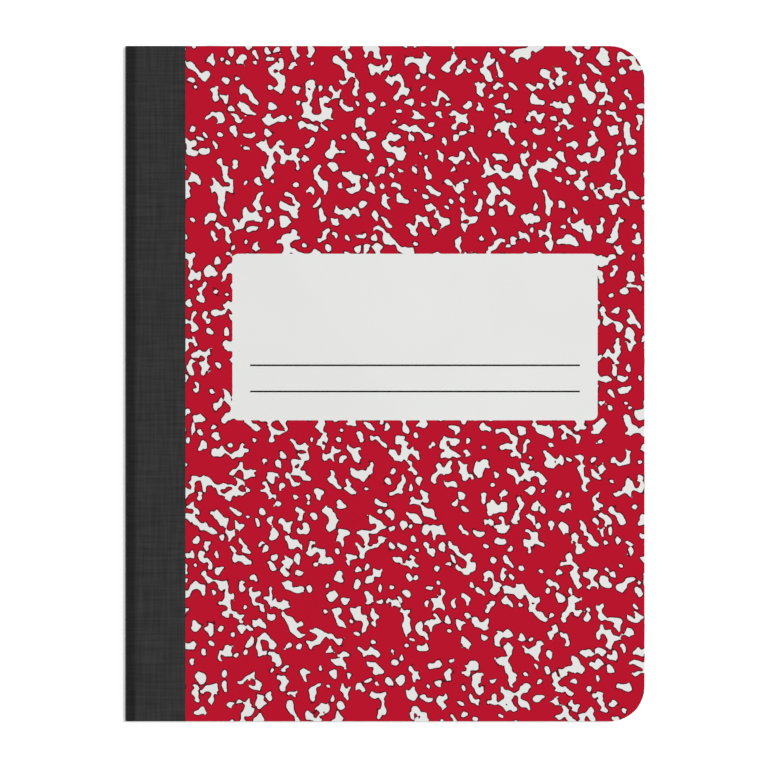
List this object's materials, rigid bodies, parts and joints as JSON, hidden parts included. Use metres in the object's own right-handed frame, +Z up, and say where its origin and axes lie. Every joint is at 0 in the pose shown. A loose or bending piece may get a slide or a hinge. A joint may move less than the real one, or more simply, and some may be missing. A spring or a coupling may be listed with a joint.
{
  "type": "composition notebook",
  "caption": "Sewn composition notebook with red and white marbled covers, black cloth tape round the spine and a bare white label.",
  "frame": {"origin": "middle of the back cover's outer face, which lies on the table", "axes": "+X from the spine to the fore edge, +Y from tail to head, +Z up through the pages to the front cover"},
  "size_m": [0.1905, 0.2476, 0.01],
  "materials": {
    "pages": "matte",
    "thread": "matte",
    "card": "satin",
    "tape": "satin",
    "marbling": "satin",
    "line_ink": "satin"
  },
  "bodies": {
    "pages": {"page_block": "pages", "binding_thread": "thread", "cover_spine": "card", "spine_tape": "tape"},
    "front_cover": {"front_cover": "card", "front_print": "marbling", "label_lines": "line_ink"},
    "back_cover": {"back_cover": "card", "back_print": "marbling"}
  },
  "joints": [
    {"name": "front_cover_hinge", "type": "hinge", "parent": "pages", "child": "front_cover", "pos_m": [-0.09535, 0, 0.00945], "axis": [0, -1, 0], "range_deg": [0, 180], "deforming": ["spine_tape"]},
    {"name": "back_cover_hinge", "type": "hinge", "parent": "pages", "child": "back_cover", "pos_m": [-0.09535, 0, 0.00055], "axis": [0, 1, 0], "range_deg": [0, 180], "deforming": ["spine_tape"]}
  ]
}
